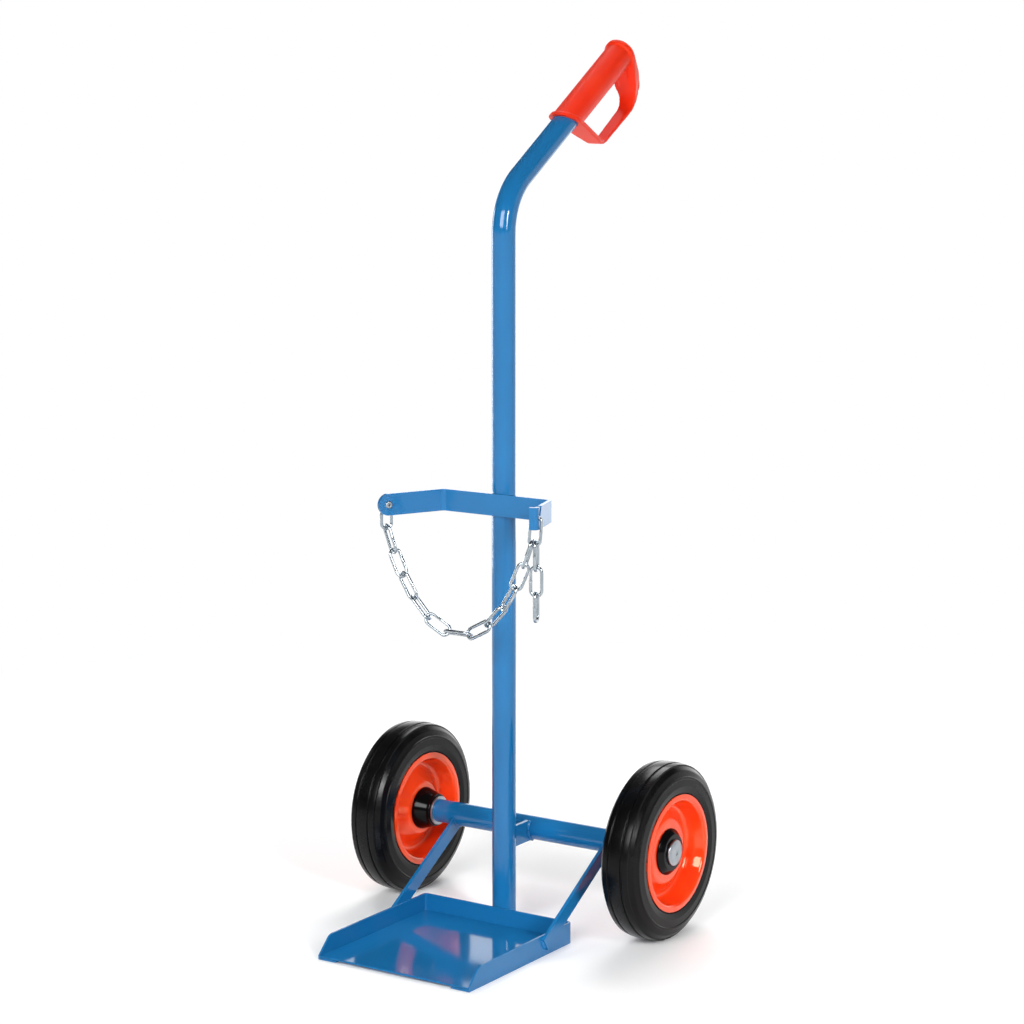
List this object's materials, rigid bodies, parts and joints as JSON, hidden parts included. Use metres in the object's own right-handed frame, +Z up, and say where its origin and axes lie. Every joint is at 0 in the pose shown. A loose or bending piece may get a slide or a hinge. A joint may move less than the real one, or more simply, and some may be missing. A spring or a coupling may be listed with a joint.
{
  "type": "gas cylinder cart",
  "caption": "Two-wheeled gas cylinder cart: bent blue tube post with red hand grip, tray, axle with orange-rimmed rubber wheels, and a holder bar with a hooked safety chain",
  "frame": {"origin": "On the floor, under the middle of the whole cart", "axes": "+X to the right wheel, -Y to the front of the tray, +Z up"},
  "size_m": [0.485, 0.6036, 1.2391],
  "materials": {
    "blue_coat": "gloss powder coat",
    "red_plastic": "moulded, satin",
    "orange_coat": "gloss paint",
    "tyre_rubber": "matt rubber",
    "black_plastic": "glossy moulding",
    "zinc_plate": "bright zinc plate",
    "zinc_chain": "zinc plated wire",
    "bare_steel": "oiled steel"
  },
  "bodies": {
    "cart_frame": {"axle_bracket": "blue_coat", "axle_shaft": "bare_steel", "axle_tube": "blue_coat", "chain_link_01": "zinc_chain", "chain_link_13": "zinc_chain", "chain_rivet": "zinc_plate", "cylinder_holder": "blue_coat", "handle_grip": "red_plastic", "left_axle_bush": "bare_steel", "left_axle_washer": "zinc_plate", "left_brace": "blue_coat", "left_lock_cap": "zinc_plate", "post_tube": "blue_coat", "right_axle_bush": "bare_steel", "right_axle_washer": "zinc_plate", "right_brace": "blue_coat", "right_lock_cap": "zinc_plate", "rivet_washer": "zinc_plate", "tray_floor": "blue_coat", "tray_rim": "blue_coat"},
    "left_wheel": {"left_tyre": "tyre_rubber", "left_rim_outer": "orange_coat", "left_rim_inner": "orange_coat", "left_hub_tube": "bare_steel", "left_roller_bearing": "bare_steel", "left_hub_cover_outer": "black_plastic", "left_hub_cover_inner": "black_plastic"},
    "right_wheel": {"right_tyre": "tyre_rubber", "right_rim_outer": "orange_coat", "right_rim_inner": "orange_coat", "right_hub_tube": "bare_steel", "right_roller_bearing": "bare_steel", "right_hub_cover_outer": "black_plastic", "right_hub_cover_inner": "black_plastic"},
    "chain_run": {"chain_link_02": "zinc_chain", "chain_link_03": "zinc_chain", "chain_link_04": "zinc_chain", "chain_link_05": "zinc_chain", "chain_link_06": "zinc_chain", "chain_link_07": "zinc_chain", "chain_link_08": "zinc_chain", "chain_link_09": "zinc_chain", "chain_link_10": "zinc_chain", "chain_link_11": "zinc_chain", "chain_link_12": "zinc_chain"},
    "tail_1": {"tail_link_1": "zinc_chain"},
    "tail_2": {"tail_link_2": "zinc_chain"},
    "tail_3": {"tail_link_3": "zinc_chain"}
  },
  "joints": [
    {"name": "left_wheel_spin", "type": "hinge", "parent": "cart_frame", "child": "left_wheel", "pos_m": [-0.2125, 0.04278, 0.125], "axis": [1, 0, 0], "continuous": true},
    {"name": "right_wheel_spin", "type": "hinge", "parent": "cart_frame", "child": "right_wheel", "pos_m": [0.2125, 0.04278, 0.125], "axis": [1, 0, 0], "continuous": true},
    {"name": "chain_swing", "type": "hinge", "parent": "cart_frame", "child": "chain_run", "pos_m": [-0.13094, -0.12732, 0.57375], "axis": [0.998, 0.0616, -0.0106], "range_deg": [-26, 16]},
    {"name": "tail_1_swing", "type": "hinge", "parent": "cart_frame", "child": "tail_1", "pos_m": [0.10597, -0.11152, 0.56689], "axis": [0.9563, 0.2924, 0], "range_deg": [-60, 60]},
    {"name": "tail_2_swing", "type": "hinge", "parent": "tail_1", "child": "tail_2", "pos_m": [0.10597, -0.11152, 0.53189], "axis": [0.2924, -0.9563, 0], "range_deg": [-10, 60]},
    {"name": "tail_3_swing", "type": "hinge", "parent": "tail_2", "child": "tail_3", "pos_m": [0.10597, -0.11152, 0.49689], "axis": [0.9563, 0.2924, 0], "range_deg": [-60, 60]}
  ]
}
